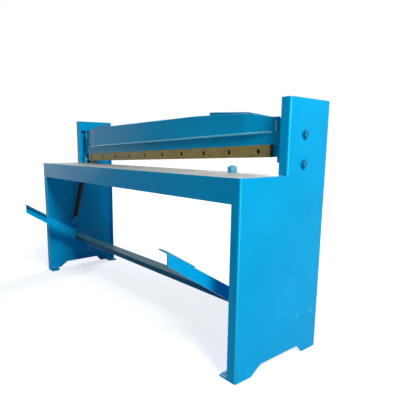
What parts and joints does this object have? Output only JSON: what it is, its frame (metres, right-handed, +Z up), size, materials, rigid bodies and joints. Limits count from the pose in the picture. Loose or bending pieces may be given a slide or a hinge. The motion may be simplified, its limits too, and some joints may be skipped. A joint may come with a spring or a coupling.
{
  "type": "treadle shear",
  "caption": "Foot-operated guillotine shear: a bowed ram with a raked blade slides between two folded side frames above a steel table, pulled down by a treadle.",
  "frame": {"origin": "centre of the bounding box in plan, at floor level", "axes": "+X along the machine towards the right-hand frame as seen by the operator, +Y from the operator to the rear, +Z up"},
  "size_m": [1.826, 0.6902, 1.0256],
  "materials": {
    "blue_paint": "gloss blue enamel over welded plate",
    "painted_bolt": "blue enamel over hexagon bolts, thinner on the edges",
    "oiled_blade": "ground tool steel with brown preserving oil",
    "ground_steel": "machined plate, lightly oiled",
    "dark_rod": "dark brown rolled bar with an oil film",
    "greased_rail": "milled and greased",
    "pin_steel": "turned, oiled"
  },
  "bodies": {
    "frame": {"bed_bar": "blue_paint", "front_apron": "blue_paint", "left_column_head": "blue_paint", "left_front_foot_pad": "blue_paint", "left_guide_rail": "greased_rail", "left_lower_guide_bolt": "painted_bolt", "left_pivot_bracket": "blue_paint", "left_pivot_pin": "painted_bolt", "left_rear_foot_pad": "blue_paint", "left_side_frame": "blue_paint", "left_table_rib": "blue_paint", "left_upper_guide_bolt": "painted_bolt", "lower_blade": "oiled_blade", "right_column_head": "blue_paint", "right_front_foot_pad": "blue_paint", "right_guide_rail": "greased_rail", "right_lower_guide_bolt": "painted_bolt", "right_pivot_bracket": "blue_paint", "right_pivot_pin": "painted_bolt", "right_rear_foot_pad": "blue_paint", "right_side_frame": "blue_paint", "right_table_rib": "blue_paint", "right_upper_guide_bolt": "painted_bolt", "table_clamp": "painted_bolt", "table_top": "ground_steel"},
    "ram": {"beam_front": "blue_paint", "beam_rear": "blue_paint", "beam_web": "blue_paint", "blade_carrier": "blue_paint", "left_crest": "blue_paint", "left_ram_shoe": "blue_paint", "left_upper_rod_pin": "pin_steel", "right_crest": "blue_paint", "right_ram_shoe": "blue_paint", "right_upper_rod_pin": "pin_steel", "upper_blade": "oiled_blade"},
    "treadle": {"cross_bar": "blue_paint", "left_foot_plate": "blue_paint", "left_rod_lug": "blue_paint", "left_treadle_arm": "blue_paint", "right_foot_plate": "blue_paint", "right_rod_lug": "blue_paint", "right_treadle_arm": "blue_paint"},
    "left_rod": {"left_pull_rod": "dark_rod"},
    "right_rod": {"right_pull_rod": "dark_rod"}
  },
  "joints": [
    {"name": "ram_slide", "type": "slide", "parent": "frame", "child": "ram", "axis": [0, 0, -1], "range_m": [0, 0.072], "stiffness_N_per_m": 6000, "springref_m": -0.25},
    {"name": "treadle_hinge", "type": "hinge", "parent": "frame", "child": "treadle", "pos_m": [0, 0.18614, 0.137], "axis": [1, 0, 0], "range_deg": [0, 19.19]},
    {"name": "left_rod_hinge", "type": "hinge", "parent": "ram", "child": "left_rod", "pos_m": [-0.852, 0.14514, 0.8045], "axis": [-1, 0, 0], "range_deg": [0, 4.9]},
    {"name": "right_rod_hinge", "type": "hinge", "parent": "ram", "child": "right_rod", "pos_m": [0.852, 0.14514, 0.8045], "axis": [-1, 0, 0], "range_deg": [0, 4.9]}
  ],
  "couplings": [
    {"joint": "treadle_hinge", "follows": "ram_slide", "rad_per_m": 4.6399},
    {"joint": "left_rod_hinge", "follows": "ram_slide", "rad_per_m": 1.1748},
    {"joint": "right_rod_hinge", "follows": "ram_slide", "rad_per_m": 1.1748}
  ]
}
